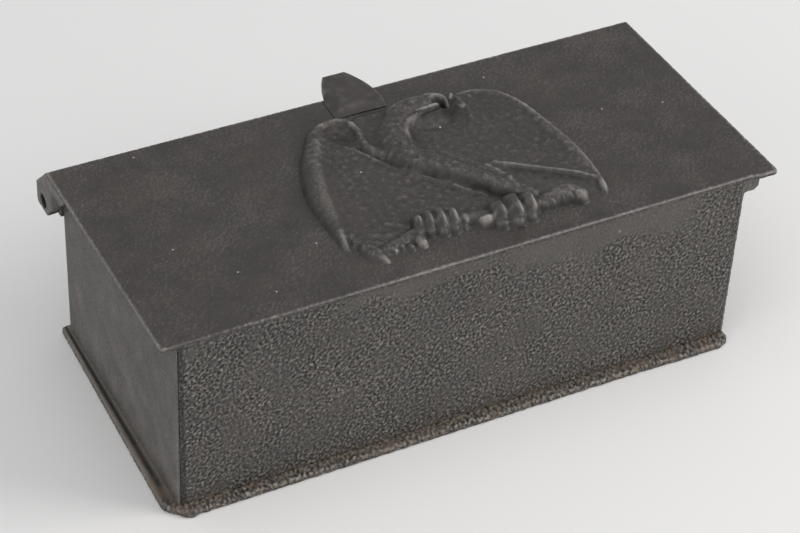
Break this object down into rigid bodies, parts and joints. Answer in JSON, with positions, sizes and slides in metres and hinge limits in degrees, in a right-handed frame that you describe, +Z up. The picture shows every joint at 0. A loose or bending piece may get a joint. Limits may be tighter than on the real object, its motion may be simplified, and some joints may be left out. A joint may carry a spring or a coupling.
{
  "type": "deed box",
  "caption": "Long low cast-iron box for papers, with a hinged flat lid that carries an eagle on a log in relief and a flanged base.",
  "frame": {"origin": "midway between the walls, on the base plate's underside", "axes": "+X along the box to its right end, +Y to the hinged rear, +Z up"},
  "size_m": [0.28, 0.1394, 0.0997],
  "materials": {
    "cast_iron_smooth": "smooth casting under dark brown patina",
    "cast_iron_rough": "rough orange-peel casting with rust in the hollows",
    "wrought_iron": "dark worn iron",
    "steel": "dull aged steel"
  },
  "bodies": {
    "box": {"base_plate": "cast_iron_rough", "base_screws": "steel", "corner_iron_front_left": "wrought_iron", "corner_iron_front_right": "wrought_iron", "corner_iron_rear_left": "wrought_iron", "corner_iron_rear_right": "wrought_iron", "corner_screws": "steel", "front_panel": "cast_iron_rough", "hinge_lug_left": "cast_iron_smooth", "hinge_lug_right": "cast_iron_smooth", "hinge_lug_rivets": "wrought_iron", "hinge_pin_left": "wrought_iron", "hinge_pin_right": "wrought_iron", "left_end_panel": "cast_iron_smooth", "rear_panel": "cast_iron_smooth", "right_end_panel": "cast_iron_smooth"},
    "lid": {"eagle_relief": "cast_iron_smooth", "eagle_relief_rivets": "wrought_iron", "lid_ear_left": "cast_iron_smooth", "lid_ear_right": "cast_iron_smooth", "lid_ear_rivets": "wrought_iron", "lid_plate": "cast_iron_smooth", "lid_tongue": "cast_iron_smooth", "lid_tongue_rivets": "wrought_iron"}
  },
  "joints": [
    {"name": "lid_hinge", "type": "hinge", "parent": "box", "child": "lid", "pos_m": [0, 0.0675, 0.0706], "axis": [-1, 0, 0], "range_deg": [0, 180]}
  ]
}
